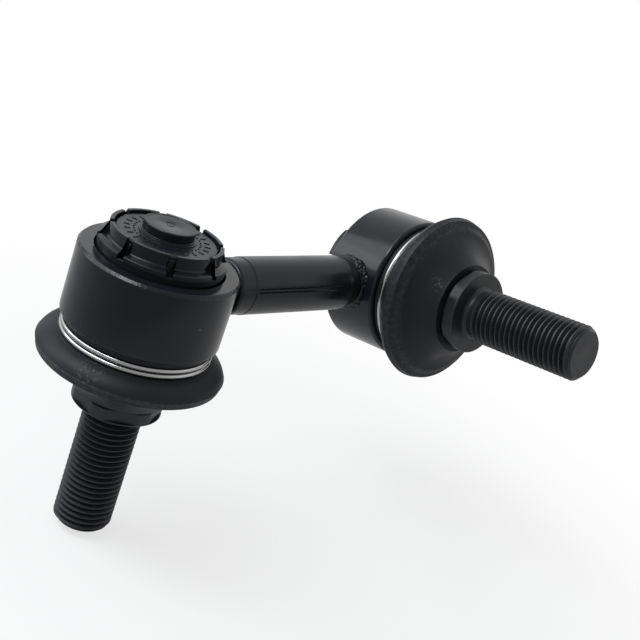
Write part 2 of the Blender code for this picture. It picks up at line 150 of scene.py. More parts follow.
# %% [markdown]
# ## Turning an outline
# Most pieces here were turned on a lathe or moulded in a round mould, so one helper spins an
# outline about the Z axis. It can also move each point as it is spun, which is how a round collar
# gets six flats, or a bar gets a groove along one side. The list of angles may be uneven, so that
# a narrow groove gets close points and the rest of the bar doesn't.

# %% The lathe
def evenly(steps):
    """Angles round a full turn, equally spaced."""
    return [math.tau * i / steps for i in range(steps)]


def lathe(outline, angles, closed=False, shape=None):
    """Spins (radius, height) points about Z. A point at radius 0 becomes a single pole."""
    bm = bmesh.new()
    columns = []
    poles = {}
    for angle in angles:
        column = []
        for j, (radius, height) in enumerate(outline):
            if radius < 1e-6:
                if j not in poles:
                    poles[j] = bm.verts.new((0.0, 0.0, height))
                column.append(poles[j])
                continue
            r, z = shape(radius, height, angle) if shape else (radius, height)
            column.append(bm.verts.new((r * math.cos(angle), r * math.sin(angle), z)))
        columns.append(column)
    rows = len(outline)
    for i, column in enumerate(columns):
        following = columns[(i + 1) % len(columns)]
        for j in range(rows if closed else rows - 1):
            k = (j + 1) % rows
            corners = []
            for vert in (column[j], column[k], following[k], following[j]):
                if vert not in corners:
                    corners.append(vert)
            if len(corners) > 2:
                bm.faces.new(corners)
    return bm


def finished_mesh(bm, name, merge=0.001):
    """Merges doubles, points every face outwards and returns the mesh, in drawing units."""
    bmesh.ops.remove_doubles(bm, verts=bm.verts, dist=merge)
    bmesh.ops.dissolve_degenerate(bm, edges=bm.edges, dist=merge / 4)
    bmesh.ops.recalc_face_normals(bm, faces=bm.faces)
    mesh = bpy.data.meshes.new(name)
    bm.to_mesh(mesh)
    bm.free()
    return mesh


def joined(*meshes):
    """Several meshes as one bmesh."""
    bm = bmesh.new()
    for mesh in meshes:
        bm.from_mesh(mesh)
    return bm


def mark(mesh, name, amount):
    """Writes amount(radius, height) of every vertex to an attribute that a material can read."""
    layer = mesh.attributes.new(name, "FLOAT", "POINT")
    for vert in mesh.vertices:
        layer.data[vert.index].value = amount(math.hypot(vert.co.x, vert.co.y), vert.co.z)


def new_object(name, data):
    """An object with this data, in the scene."""
    obj = bpy.data.objects.new(name, data)
    bpy.context.scene.collection.objects.link(obj)
    return obj


def piece(name, mesh, side, finish, sharp_deg=32.0):
    """A named piece of the object from a mesh in drawing units, carried to its joint."""
    mesh = mesh.copy()
    mesh.name = name
    mesh.transform(JOINTS[side])
    mesh.materials.clear()
    mesh.materials.append(finish)
    mesh.shade_smooth()
    mesh.set_sharp_from_angle(angle=math.radians(sharp_deg))
    obj = new_object(name, mesh)
    return obj


print("a turned ring has", len(lathe([(2, 0), (3, 0), (3, 1)], evenly(24), True).faces), "faces")

# %% [markdown]
# ## Growing shapes with Geometry Nodes
# What repeats, or follows a path, is grown by a node tree. The first helper starts a tree and
# declares its named inputs. The second one adds a node and wires it, and the third runs the tree
# on an empty object: it sets each input by its socket's identifier, evaluates the result, and
# keeps it as a plain mesh with the modifier gone.

# %% Helpers for node trees
def new_tree(name, **inputs):
    """A geometry node group with named inputs. Returns the tree and its input node."""
    tree = bpy.data.node_groups.new(name, "GeometryNodeTree")
    kinds = {float: "NodeSocketFloat", int: "NodeSocketInt", "object": "NodeSocketObject",
             "material": "NodeSocketMaterial"}
    for label, kind in inputs.items():
        tree.interface.new_socket(label, in_out="INPUT", socket_type=kinds[kind])
    tree.interface.new_socket("Geometry", in_out="OUTPUT", socket_type="NodeSocketGeometry")
    return tree, tree.nodes.new("NodeGroupInput").outputs


def add(tree, kind, wires=None, **settings):
    """Adds a node, sets its properties, then links or fills the sockets in wires."""
    node = tree.nodes.new(kind)
    for key, value in settings.items():
        setattr(node, key, value)
    for socket, source in (wires or {}).items():
        if isinstance(source, bpy.types.NodeSocket):
            tree.links.new(source, node.inputs[socket])
        else:
            node.inputs[socket].default_value = source
    return node.outputs[0]


def calc(tree, operation, *values):
    """A Math node: the operation on one, two or three sockets or numbers."""
    return add(tree, "ShaderNodeMath", dict(enumerate(values)), operation=operation)


def polar(tree, radius, angle, height):
    """The point at this radius, angle and height as a vector socket."""
    x = calc(tree, "MULTIPLY", radius, calc(tree, "COSINE", angle))
    y = calc(tree, "MULTIPLY", radius, calc(tree, "SINE", angle))
    return add(tree, "ShaderNodeCombineXYZ", {"X": x, "Y": y, "Z": height})


def end_tree(tree, geometry, material):
    """Ends a tree with Realize Instances and Set Material."""
    solid = add(tree, "GeometryNodeRealizeInstances", {"Geometry": geometry})
    painted = add(tree, "GeometryNodeSetMaterial", {"Geometry": solid, "Material": material})
    output = tree.nodes.new("NodeGroupOutput")
    tree.links.new(painted, output.inputs[0])


def grown(tree, name, **values):
    """Runs a tree with these input values and returns the result as a plain mesh."""
    carrier = new_object(name, bpy.data.meshes.new(name))
    modifier = carrier.modifiers.new(name, "NODES")
    modifier.node_group = tree
    for item in tree.interface.items_tree:
        if item.in_out == "INPUT":
            modifier[item.identifier] = values[item.name]
    evaluated = carrier.evaluated_get(bpy.context.evaluated_depsgraph_get())
    mesh = bpy.data.meshes.new_from_object(evaluated)
    carrier.modifiers.clear()
    bpy.data.objects.remove(carrier)
    return mesh


print("tree helpers ready")

# %% [markdown]
# ## Finishes
# Everything on this link is nearly black, so the finishes differ by how they reflect, not by
# colour: satin paint on the steel, moulded plastic on the cap, soft rubber on the boots, a thin
# dark coating on the forged studs, and bright spring wire. One helper starts a Principled
# material, and the others add fine bump, uneven gloss, spots of wear and spots of painted
# highlight. They all read Object coordinates, in metres, or a mark written on the vertices, so
# the finish moves with its piece.

# %% Helpers for finishes
def new_finish(name, color, roughness, metallic=0.0, **sockets):
    """A Principled material. Returns the material, its tree, shader and object coordinates."""
    finish = bpy.data.materials.new(name)
    finish.use_nodes = True
    tree = finish.node_tree
    shader = tree.nodes["Principled BSDF"]
    shader.inputs["Base Color"].default_value = (*color, 1.0)
    shader.inputs["Roughness"].default_value = roughness
    shader.inputs["Metallic"].default_value = metallic
    for socket, value in sockets.items():
        shader.inputs[socket].default_value = value
    coords = tree.nodes.new("ShaderNodeTexCoord").outputs["Object"]
    return finish, tree, shader, coords


def cloudy(tree, coords, scale, detail=3.0):
    """Noise with features about 1 / scale metres wide."""
    return add(tree, "ShaderNodeTexNoise", {"Vector": coords, "Scale": scale, "Detail": detail})


def span(tree, value, low, high, out_low, out_high):
    """Map Range: value from low..high to out_low..out_high, clamped."""
    return add(tree, "ShaderNodeMapRange", {"Value": value, "From Min": low, "From Max": high,
                                            "To Min": out_low, "To Max": out_high})


def uneven_gloss(tree, shader, coords, scale, low, high):
    """Lets the roughness wander between low and high."""
    tree.links.new(span(tree, cloudy(tree, coords, scale), 0.35, 0.65, low, high),
                   shader.inputs["Roughness"])


def add_bump(tree, shader, height, distance, strength=1.0):
    """Adds a bump, in metres, on top of any that is there already."""
    wires = {"Height": height, "Distance": distance, "Strength": strength}
    before = shader.inputs["Normal"].links
    if before:
        wires["Normal"] = before[0].from_socket
    tree.links.new(add(tree, "ShaderNodeBump", wires), shader.inputs["Normal"])


def marked(tree, name):
    """The attribute that mark wrote. It is 0 on a mesh that has none."""
    node = tree.nodes.new("ShaderNodeAttribute")
    node.attribute_name = name
    return node.outputs["Fac"]


def near(tree, coords, point, inner, outer):
    """1 within inner metres of the point, fading to 0 at outer."""
    apart = tree.nodes.new("ShaderNodeVectorMath")
    apart.operation = "DISTANCE"
    tree.links.new(coords, apart.inputs[0])
    apart.inputs[1].default_value = point
    return span(tree, apart.outputs["Value"], inner, outer, 1.0, 0.0)


def tint(tree, shader, amount, color):
    """Mixes a colour over the base colour where amount is 1."""
    base = shader.inputs["Base Color"]
    mix = tree.nodes.new("ShaderNodeMix")
    mix.data_type = "RGBA"
    tree.links.new(amount, mix.inputs["Factor"])
    if base.links:
        tree.links.new(base.links[0].from_socket, mix.inputs["A"])
    else:
        mix.inputs["A"].default_value = base.default_value
    mix.inputs["B"].default_value = (*color, 1.0)
    tree.links.new(mix.outputs["Result"], base)


print("finish helpers ready")

# %% [markdown]
# ### Satin black paint
# The bar and the housings are steel under a thin coat of black paint. Sprayed paint has a faint
# orange peel, its gloss wanders a little, and a few dust specks are caught in it. The specks come
# from a cell pattern: the centre of a cell is a dot, and only a few cells are let through. Paint
# runs thin on edges and gets nicked there, so a bump appears where the edge was marked.

# %% Black paint
def black_paint(name, color, low, high):
    """Sprayed paint of this colour, with a roughness that wanders between low and high."""
    finish, tree, shader, coords = new_finish(name, color, low, **{"Specular IOR Level": 0.3})
    uneven_gloss(tree, shader, coords, 160.0, low, high)
    add_bump(tree, shader, cloudy(tree, coords, 900.0, 2.0), 0.00001, 0.35)
    cells = tree.nodes.new("ShaderNodeTexVoronoi")
    cells.inputs["Scale"].default_value = 420.0
    tree.links.new(coords, cells.inputs["Vector"])
    red = add(tree, "ShaderNodeSeparateColor", {"Color": cells.outputs["Color"]})
    chosen = calc(tree, "GREATER_THAN", red, 0.955)
    dot = span(tree, cells.outputs["Distance"], 0.09, 0.14, 1.0, 0.0)
    speck = calc(tree, "MULTIPLY", chosen, dot)
    tint(tree, shader, calc(tree, "MULTIPLY", speck, 0.5), (0.16, 0.16, 0.17))
    add_bump(tree, shader, speck, 0.00003, 0.6)
    nicks = calc(tree, "MULTIPLY", cloudy(tree, coords, 1300.0, 4.0), marked(tree, "edge"))
    add_bump(tree, shader, nicks, 0.0001, 0.7)
    return finish


housing_paint = black_paint("housing_paint", (0.0094, 0.0108, 0.015), 0.13, 0.19)
bar_paint = black_paint("bar_paint", (0.0105, 0.0117, 0.0155), 0.22, 0.3)
weld_paint = black_paint("weld_paint", (0.0065, 0.0073, 0.0105), 0.12, 0.26)
print("paints:", housing_paint.name, bar_paint.name, weld_paint.name)

# %% [markdown]
# ### Moulded plastic, rubber and steel
# The cap's plastic is a little duller than the paint, with the fine grain of a spark-eroded mould.
# The boot's rubber is softer still: a broad sheen, faint mottling and a trace of dust, a scuffed
# rim that is also tinted lighter as a painted highlight, and a painted highlight on each boot,
# broken up by scratch bumps. The studs carry a thin phosphate coating, dark grey with tiny
# crystals. The clip is drawn wire, bright and smooth.

# %% Plastic, rubber, coated steel and wire
def black_plastic(name, color, low, high):
    """Moulded plastic of this colour, with a roughness that wanders between low and high."""
    finish, tree, shader, coords = new_finish(name, color, low, **{"Specular IOR Level": 0.24})
    uneven_gloss(tree, shader, coords, 220.0, low, high)
    add_bump(tree, shader, cloudy(tree, coords, 5200.0, 2.0), 0.000006, 0.5)
    return finish


seat_plastic = black_plastic("seat_plastic", (0.011, 0.0123, 0.016), 0.16, 0.24)
plug_plastic = black_plastic("plug_plastic", (0.0095, 0.0108, 0.0145), 0.24, 0.34)

# Painted highlights: each spot, given by its point and inner and outer radius, is tinted lighter.
PAINTED_HIGHLIGHT_SPOTS = (((-0.0155, -0.0076, -0.0122), 0.0008, 0.0034),
                ((0.0613, -0.0188, 0.0092), 0.0005, 0.002))


def worn_rubber_with_painted_highlights():
    """Black rubber with mottling, dust, a scuffed rim with painted highlight, and painted highlight
    spots.
    """
    finish, tree, shader, coords = new_finish("boot_rubber", (0.0112, 0.0124, 0.0162), 0.5,
                                              **{"Specular IOR Level": 0.25})
    uneven_gloss(tree, shader, coords, 130.0, 0.42, 0.56)
    add_bump(tree, shader, cloudy(tree, coords, 1500.0, 4.0), 0.00001, 0.5)
    dusty = span(tree, cloudy(tree, coords, 95.0, 5.0), 0.5, 0.75, 0.0, 0.35)
    tint(tree, shader, dusty, (0.02, 0.02, 0.021))
    # The lower rim is tinted lighter and bumped: partly scuffs, partly a painted highlight.
    patchy = span(tree, cloudy(tree, coords, 1100.0, 5.0), 0.42, 0.66, 0.1, 1.0)
    scuffs_and_painted_sheen = calc(tree, "MULTIPLY", marked(tree, "rim"), patchy)
    tint(tree, shader, calc(tree, "MULTIPLY", scuffs_and_painted_sheen, 0.75), (0.034, 0.035, 0.038))
    add_bump(tree, shader, scuffs_and_painted_sheen, 0.00008, 0.7)
    # Painted highlight: each spot is tinted lighter, and scratchy noise breaks it up and bumps it.
    for point, inner, outer in PAINTED_HIGHLIGHT_SPOTS:
        highlight_spot = near(tree, coords, point, inner, outer)
        scratchy = span(tree, cloudy(tree, coords, 1600.0, 4.0), 0.5, 0.68, 0.0, 1.0)
        marks = calc(tree, "MULTIPLY", highlight_spot, scratchy)
        tint(tree, shader, marks, (0.1, 0.102, 0.108))
        add_bump(tree, shader, marks, 0.00012, 0.7)
    return finish


def coated_steel():
    """Forged steel under a thin phosphate coating with tiny crystals."""
    finish, tree, shader, coords = new_finish("stud_steel", (0.0165, 0.018, 0.022), 0.4,
                                              **{"Specular IOR Level": 0.4})
    uneven_gloss(tree, shader, coords, 350.0, 0.32, 0.46)
    add_bump(tree, shader, cloudy(tree, coords, 6000.0, 2.0), 0.000006, 0.6)
    return finish


def bare_steel(name, color, scale, low, high):
    """Bare metal of this colour, with a roughness that wanders between low and high."""
    finish, tree, shader, coords = new_finish(name, color, low, 1.0)
    uneven_gloss(tree, shader, coords, scale, low, high)
    return finish


boot_rubber = worn_rubber_with_painted_highlights()
stud_steel = coated_steel()
clip_wire = bare_steel("clip_wire", (0.5, 0.5, 0.5), 300.0, 0.17, 0.23)
ring_steel = bare_steel("ring_steel", (0.45, 0.45, 0.46), 600.0, 0.32, 0.48)
print("more finishes:", seat_plastic.name, boot_rubber.name, stud_steel.name, clip_wire.name)

# %% [markdown]
# ## Housing
# The housing is a short steel tube with a ball seat pressed into it. Its upper rim has a small
# chamfer, which catches a line of light, and its lower rim is rounded. Under it a narrower spigot
# carries the boot. Spinning one closed outline gives the whole ring, inside and out. The vertices
# of the upper rim are marked, for the nicks in the paint.

# %% Housing
ROUND = evenly(160)
HOUSING_RADIUS = 14.0
RIM_INSIDE = 13.47
RIM_FOOT = 5.33
housing_outline = rounded([
    (11.3, 5.9, 0.15), (13.56, 5.9, 0.14), (HOUSING_RADIUS, 5.42, 0.14),
    (HOUSING_RADIUS, -7.1, 0.75), (11.2, -7.1, 0.1),
    (11.2, -9.4), (11.5, -9.7, 0.1), (11.5, -10.3, 0.15), (10.1, -10.3, 0.1),
    (8.6, -5.5, 0.1), (11.3, -5.5), (11.3, -1.5), (11.9, -1.5), (11.9, 1.5), (11.3, 1.5)],
    closed=True, step_deg=11.0)
housing_mesh = finished_mesh(lathe(housing_outline, ROUND, closed=True), "housing")
mark(housing_mesh, "edge", lambda radius, height: float(radius > RIM_INSIDE and height > RIM_FOOT))
for side in "ab":
    housing = piece(f"housing_{side}_painted", housing_mesh, side, housing_paint)
    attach(housing, "link")
    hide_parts(f"housing_{side}")
print("housing faces:", len(housing_mesh.polygons))

# %% [markdown]
# ## Ball seat and snap fingers
# The plastic seat wraps the ball. Its upper end stands out of the housing as eight fingers with
# flared feet, which snap over the plug. The seat itself is spun. One finger is modelled by
# sweeping its cross-section through a few degrees, with its two ends drawn in slightly so that
# their edges are soft, and a node tree then repeats it round the circle.

# %% One finger
FINGER_COUNT = 8
FINGER_TURN_DEG = 36.5
SLOT_WIDTH = 1.15
BASE_TOP = 7.0
WEB_TOP = 9.45
finger_outline = rounded([
    (9.03, 6.5), (9.03, 10.38, 0.12), (9.75, 10.38, 0.1), (9.75, 8.2, 0.4), (11.15, 7.75, 0.2),
    (11.15, 6.98, 0.08), (10.4, 6.98), (10.4, 6.5)], step_deg=22.0)


def drawn_in(outline, distance):
    """The closed outline moved inwards by a small distance."""
    moved = []
    count = len(outline)
    for i, point in enumerate(outline):
        along = (Vector(outline[(i + 1) % count]) - Vector(outline[i - 1])).normalized()
        moved.append((point[0] + along.y * distance, point[1] - along.x * distance))
    return moved


def half_width(radius):
    """Half of a finger's width, which leaves a slot of the same width from top to foot."""
    return radius * math.pi / FINGER_COUNT - SLOT_WIDTH / 2


def finger_mesh():
    """One finger about the X axis: its outline at 13 stations, drawn in at both ends."""
    bm = bmesh.new()
    edge = 0.12
    soft = drawn_in(finger_outline, edge)
    stations = [(-1.0, soft, 0.0), (-1.0, finger_outline, edge)]
    stations += [(s / 6, finger_outline, 0.0) for s in range(-5, 6)]
    stations += [(1.0, finger_outline, edge), (1.0, soft, 0.0)]
    rings = []
    for share, outline, back in stations:
        ring = []
        for (radius, height), full in zip(outline, finger_outline):
            turn = share * (half_width(full[0]) - back) / full[0]
            ring.append(bm.verts.new((radius * math.cos(turn), radius * math.sin(turn), height)))
        rings.append(ring)
    for first, second in zip(rings, rings[1:]):
        for k in range(len(first)):
            m = (k + 1) % len(first)
            bm.faces.new((first[k], first[m], second[m], second[k]))
    bm.faces.new(rings[0])
    bm.faces.new(reversed(rings[-1]))
    return finished_mesh(bm, "finger", 0.0005)


one_finger = new_object("one_finger", finger_mesh())
print("one finger has", len(one_finger.data.polygons), "faces")

# %% [markdown]
# The tree below places copies of any object in a ring. A mesh circle gives as many points as there
# are copies, each point is moved to its own angle, and the copy on it is turned by the same angle.
# The plug's marks will use this tree too.

# %% Repeat it round the cap
ring_tree, ring_in = new_tree("ring_of_copies", Count=int, Turn=float, Radius=float,
                                    Piece="object", Finish="material")
circle = add(ring_tree, "GeometryNodeMeshCircle",
             {"Vertices": ring_in["Count"], "Radius": ring_in["Radius"]})
copy_number = add(ring_tree, "GeometryNodeInputIndex")
step_angle = calc(ring_tree, "DIVIDE", math.tau, ring_in["Count"])
copy_angle = calc(ring_tree, "MULTIPLY_ADD", copy_number, step_angle, ring_in["Turn"])
points = add(ring_tree, "GeometryNodeMeshToPoints", {"Mesh": circle})
placed = add(ring_tree, "GeometryNodeSetPosition",
             {"Geometry": points,
              "Position": polar(ring_tree, ring_in["Radius"], copy_angle, 0.0)})
shape_in = ring_tree.nodes.new("GeometryNodeObjectInfo")
ring_tree.links.new(ring_in["Piece"], shape_in.inputs["Object"])
turn_in = add(ring_tree, "ShaderNodeCombineXYZ", {"Z": copy_angle})
copies = add(ring_tree, "GeometryNodeInstanceOnPoints",
             {"Points": placed, "Instance": shape_in.outputs["Geometry"], "Rotation": turn_in})
end_tree(ring_tree, copies, ring_in["Finish"])
fingers = grown(ring_tree, "fingers", Count=FINGER_COUNT, Radius=0.0,
                Turn=math.radians(FINGER_TURN_DEG), Piece=one_finger, Finish=seat_plastic)
print("ring of fingers:", len(fingers.polygons), "faces")

# %% [markdown]
# The seat below the fingers is one spun outline: the round socket for the ball, the mouth for the
# stud, the rib that locks it in the housing, and a thin web behind the slots, which ends a little
# lower than the fingers and leaves a notch between them.

# %% Ball seat
SOCKET_RADIUS = 8.3
socket = arc(SOCKET_RADIUS, [56.2 - 5.66 * i for i in range(16)])
seat_outline = socket + [(8.4, -5.2), (10.8, -5.2), (11.0, -5.0), (11.0, -1.4), (11.6, -1.2),
                         (11.6, 1.2), (11.0, 1.2)]
seat_outline += rounded([(11.0, 1.3), (11.0, BASE_TOP, 0.12), (9.45, BASE_TOP, 0.1),
                         (9.4, WEB_TOP, 0.08), (9.05, WEB_TOP, 0.05), (9.05, 6.9)])
seat_mesh = finished_mesh(lathe(seat_outline, ROUND, closed=True), "seat")
seat_with_fingers = finished_mesh(joined(seat_mesh, fingers), "seat_with_fingers", 0.0001)
for side in "ab":
    seat = piece(f"ball_seat_{side}_moulded", seat_with_fingers, side, seat_plastic)
    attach(seat, "link")
    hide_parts(f"ball_seat_{side}")
bpy.data.objects.remove(one_finger)
print("seat faces:", len(seat_with_fingers.polygons))

# %% [markdown]
# ## Locking plug
# The plug closes the cap. It is a round moulding with a tall boss in the middle and a low step at
# the boss's foot. Moulders often leave small raised marks on such a face, so plain pips and bars
# go round the boss, grown with the same tree that repeated the fingers, and the boss gets the
# shallow round mark of a moulding gate.

# %% Plug
PLUG_FACE = 9.95
PIP_HEIGHT = 0.24
plug_outline = [(0.0, 11.92), (0.55, 11.92), (0.62, 11.86), (0.8, 11.86), (0.87, 11.92),
                (1.0, 11.96)]
plug_outline += rounded([
    (1.0, 11.96), (4.05, 11.96, 0.05), (4.12, 12.04, 0.05), (4.38, 12.04, 0.06), (4.5, 11.88, 0.06),
    (4.5, 10.5, 0.05), (4.68, 10.45, 0.05), (4.72, 10.25, 0.04), (4.95, 10.22, 0.05),
    (5.0, PLUG_FACE, 0.06), (8.88, PLUG_FACE, 0.5), (8.88, 7.2, 0.1), (4.14, 7.2)])
plug_outline += arc(SOCKET_RADIUS, range(62, 87, 4)) + [(0.0, SOCKET_RADIUS)]
plug_mesh = finished_mesh(lathe(plug_outline, evenly(128)), "plug")


def pip_mesh(length, width, height):
    """A low bar with rounded corners and edges, lying along X."""
    bm = bmesh.new()
    bmesh.ops.create_cube(bm, size=1.0, matrix=Matrix.Diagonal((length, width, height, 1.0)))
    upright = [e for e in bm.edges if abs(e.verts[0].co.z - e.verts[1].co.z) > height / 2]
    bmesh.ops.bevel(bm, geom=upright, offset=width * 0.4, segments=3, affect="EDGES", profile=0.5)
    top = [e for e in bm.edges if all(v.co.z > height / 2 - 1e-6 for v in e.verts)]
    bmesh.ops.bevel(bm, geom=top, offset=height * 0.3, segments=2, affect="EDGES", profile=0.5)
    return finished_mesh(bm, "pip", 0.0001)


def ring_of_pips(count, radius, turn_deg, length, width):
    """Pips on the plug's face, pointing at its centre."""
    mesh = pip_mesh(length, width, PIP_HEIGHT)
    mesh.transform(Matrix.Translation((0, 0, PLUG_FACE)))
    shape = new_object("pip", mesh)
    ring = grown(ring_tree, "pips", Count=count, Radius=radius, Turn=math.radians(turn_deg),
                 Piece=shape, Finish=plug_plastic)
    bpy.data.objects.remove(shape)
    return ring


long_pips = ring_of_pips(24, 6.9, 4.0, 1.1, 0.32)
short_pips = ring_of_pips(36, 5.75, 0.0, 0.34, 0.34)
whole_plug = finished_mesh(joined(plug_mesh, long_pips, short_pips), "whole_plug", 0.0001)
for side in "ab":
    plug = piece(f"lock_plug_{side}_moulded", whole_plug, side, plug_plastic)
    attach(plug, "link")
    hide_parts(f"lock_plug_{side}")
print("plug faces:", len(whole_plug.polygons))

# %% [markdown]
# ## Threaded stud
# The stud is one forging: ball, neck, hexagonal collar and thread. The thread is the piece that
# shows most, so it is real geometry. A grid is rolled into a helix: one direction of the grid runs
# round the stud turn after turn, the other runs over one thread's profile. Rows land exactly on
# the crest's and root's edges, so these stay crisp. Heights are clamped at both ends, which
# gathers the ragged ends of the helix into two clean rings that the rest of the stud joins.

# %% Thread tree
PER_MM = 0.001 / UNIT
STUD_STEPS = 144
THREAD_TOP = -27.2 * PER_MM
STUD_END = -53.2 * PER_MM
UNDERCUT = 5.1 * PER_MM
TIP_RADIUS = 5.0 * PER_MM
CREST = 5.97 * PER_MM
ROOT = 5.18 * PER_MM
PITCH = 1.25 * PER_MM
TURNS = 23
TURNS_ABOVE = 1.2
RUNOUT_LENGTH = 0.9

thread_tree, thread_in = new_tree("rolled_thread", Pitch=float, Crest=float, Root=float, Top=float,
                                  Bottom=float, Runout=float, Tip=float, Turns=int, Steps=int,
                                  Finish="material")
columns = calc(thread_tree, "MULTIPLY_ADD", thread_in["Turns"], thread_in["Steps"], 1.0)
grid = add(thread_tree, "GeometryNodeMeshGrid",
           {"Size X": 1.0, "Size Y": 1.0, "Vertices X": columns, "Vertices Y": 7})
where = add(thread_tree, "GeometryNodeInputPosition")
split = thread_tree.nodes.new("ShaderNodeSeparateXYZ")
thread_tree.links.new(where, split.inputs[0])
turns_done = calc(thread_tree, "MULTIPLY", calc(thread_tree, "ADD", split.outputs["X"], 0.5),
                  thread_in["Turns"])
phase = calc(thread_tree, "ADD", split.outputs["Y"], 0.5 + 1 / 12)
from_root = calc(thread_tree, "PINGPONG", phase, 0.5)
profile = span(thread_tree, from_root, 1 / 12, 5 / 12, thread_in["Root"], thread_in["Crest"])
turns_down = calc(thread_tree, "ADD", turns_done,
                  calc(thread_tree, "SUBTRACT", phase, TURNS_ABOVE))
drop = calc(thread_tree, "MULTIPLY", turns_down, thread_in["Pitch"])
level = calc(thread_tree, "SUBTRACT", thread_in["Top"], drop)
level = calc(thread_tree, "MAXIMUM", calc(thread_tree, "MINIMUM", level, thread_in["Top"]),
             thread_in["Bottom"])
below_top = calc(thread_tree, "SUBTRACT", thread_in["Top"], level)
cut_share = span(thread_tree, below_top, 0.0, RUNOUT_LENGTH, 0.0, 1.0)
cut = add(thread_tree, "ShaderNodeMapRange",
          {"Value": cut_share, "To Min": thread_in["Runout"], "To Max": profile})
chamfer = calc(thread_tree, "ADD", thread_in["Tip"],
               calc(thread_tree, "SUBTRACT", level, thread_in["Bottom"]))
thread_radius = calc(thread_tree, "MINIMUM", cut, chamfer)
thread_angle = calc(thread_tree, "MULTIPLY", turns_done, -math.tau)
rolled = add(thread_tree, "GeometryNodeSetPosition",
             {"Geometry": grid,
              "Position": polar(thread_tree, thread_radius, thread_angle, level)})
welded = add(thread_tree, "GeometryNodeMergeByDistance", {"Geometry": rolled, "Distance": 0.0008})
end_tree(thread_tree, welded, thread_in["Finish"])
thread = grown(thread_tree, "thread", Pitch=PITCH, Crest=CREST, Root=ROOT, Top=THREAD_TOP,
               Bottom=STUD_END, Runout=UNDERCUT, Tip=TIP_RADIUS, Turns=TURNS, Steps=STUD_STEPS,
               Finish=stud_steel)
print("thread faces:", len(thread.polygons))

# %% [markdown]
# The rest of the stud is spun. Where the collar is, each point is pulled in to the hexagon's flat
# if it lies outside it, so the six flats cut through the upper chamfer in curved lines, as on a
# real bolt head. The flats stop just above the seat face and leave a thin round rim.

# %% Stud body
FLATS = 17.0 * PER_MM
STUD_TURN_DEG = {"a": 30.0, "b": 32.0}
BALL_RADIUS = 8.0
LAND_RADIUS = 6.0
COLLAR_RADIUS = 8.05
COLLAR_TOP = -19.6
RIM_TOP = -22.2
SEAT_FACE = -22.55


def six_flats(radius, height, angle):
    """Pulls the collar's points in to the nearest flat of the hexagon."""
    if radius < 6.9 or not RIM_TOP < height < COLLAR_TOP + 0.3:
        return radius, height
    off = math.remainder(angle - math.pi / 6, math.pi / 3)
    return min(radius, FLATS / 2 / math.cos(off)), height


ball = arc(BALL_RADIUS, [90 - 5.0 * i for i in range(1, 30)])
stud_outline = [(0.0, BALL_RADIUS)] + ball + rounded([
    (4.35, -6.8), (4.3, -14.7, 1.0), (LAND_RADIUS, -16.4, 0.3), (LAND_RADIUS, COLLAR_TOP, 0.1),
    (7.3, COLLAR_TOP, 0.1), (COLLAR_RADIUS, -20.2, 0.1),
    (COLLAR_RADIUS, RIM_TOP + 0.02), (COLLAR_RADIUS, RIM_TOP - 0.02),
    (COLLAR_RADIUS, -22.4, 0.05), (7.9, SEAT_FACE, 0.05),
    (UNDERCUT, SEAT_FACE, 0.9), (UNDERCUT, THREAD_TOP)], step_deg=18.0)
stud_tip = [(TIP_RADIUS, STUD_END), (TIP_RADIUS - 0.08, STUD_END), (0.0, STUD_END)]
upper = finished_mesh(lathe(stud_outline, evenly(STUD_STEPS), shape=six_flats), "stud_upper")
tip = finished_mesh(lathe(stud_tip, evenly(STUD_STEPS)), "stud_tip")
stud_mesh = finished_mesh(joined(upper, thread, tip), "stud", 0.002)
for side in "ab":
    turned = stud_mesh.copy()
    turned.transform(Matrix.Rotation(math.radians(STUD_TURN_DEG[side]), 4, "Z"))
    stud = piece(f"ball_stud_{side}_forged", turned, side, stud_steel)
    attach(stud, f"stud_{side}")
    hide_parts(f"ball_stud_{side}")
print("stud faces:", len(stud_mesh.polygons))

# %% [markdown]
# ## Rubber boot
# The boot seals the joint: a collar held on the housing by the wire clip, a mushroom rim, and a
# dished skirt down to a lip on the stud. When the stud swings, the rubber bends. The link's two
# swings are two joints in the part, and the boot is made as two closed pieces that meet in a ring
# under the rim. The rim is marked for its scuffs and its painted highlight.

# %% Boot outlines
SEAM = (15.55, -14.2)
SEAM_INSIDE = (14.1, -13.9)
LIP_TOP = -17.5
crown = [(13.05 + 3.65 * math.sin(math.radians(a)), -13.5 + 3.4 * math.cos(math.radians(a)))
         for a in range(6, 73, 6)]
upper_outer = rounded([
    (11.55, -7.13), (13.06, -7.13, 0.22), (13.06, -7.98, 0.18), (12.33, -8.02, 0.1),
    (12.33, -9.98, 0.1), (13.05, -10.02, 0.12), (13.4, -10.1)], step_deg=20.0)
upper_outer += crown
upper_outer += rounded([(16.55, -12.55), (16.66, -12.62, 0.04), (16.56, -12.72),
                        (16.3, -13.85, 0.12), SEAM])
upper_inner = flowing([SEAM_INSIDE, (14.6, -13.3), (14.4, -12.3), (13.2, -11.2), (12.1, -10.65),
                       (11.85, -10.45)], 4)
upper_inner += [(11.8, -9.5), (11.5, -9.2)]
lower_outer = flowing([SEAM, (15.1, -14.45), (14.75, -14.75), (14.4, -14.95), (13.9, -15.08),
                       (13.0, -15.4), (11.9, -16.0), (10.9, -16.8), (10.0, -17.8), (9.3, -18.7),
                       (8.95, -19.2)], 4)
lower_outer += rounded([(8.95, -19.2), (8.86, -19.4, 0.06), (6.25, -19.4, 0.06),
                        (6.25, -19.32), (7.35, -19.32), (7.35, LIP_TOP)])
lower_inner = [(7.7, LIP_TOP + 0.3)]
lower_inner += flowing([(9.7, -15.0), (11.4, -14.0), (13.1, -13.6), SEAM_INSIDE], 4)
upper_boot = finished_mesh(lathe(upper_outer + upper_inner, ROUND, closed=True), "upper_boot")
lower_boot = finished_mesh(lathe(lower_outer + lower_inner, ROUND, closed=True), "lower_boot")
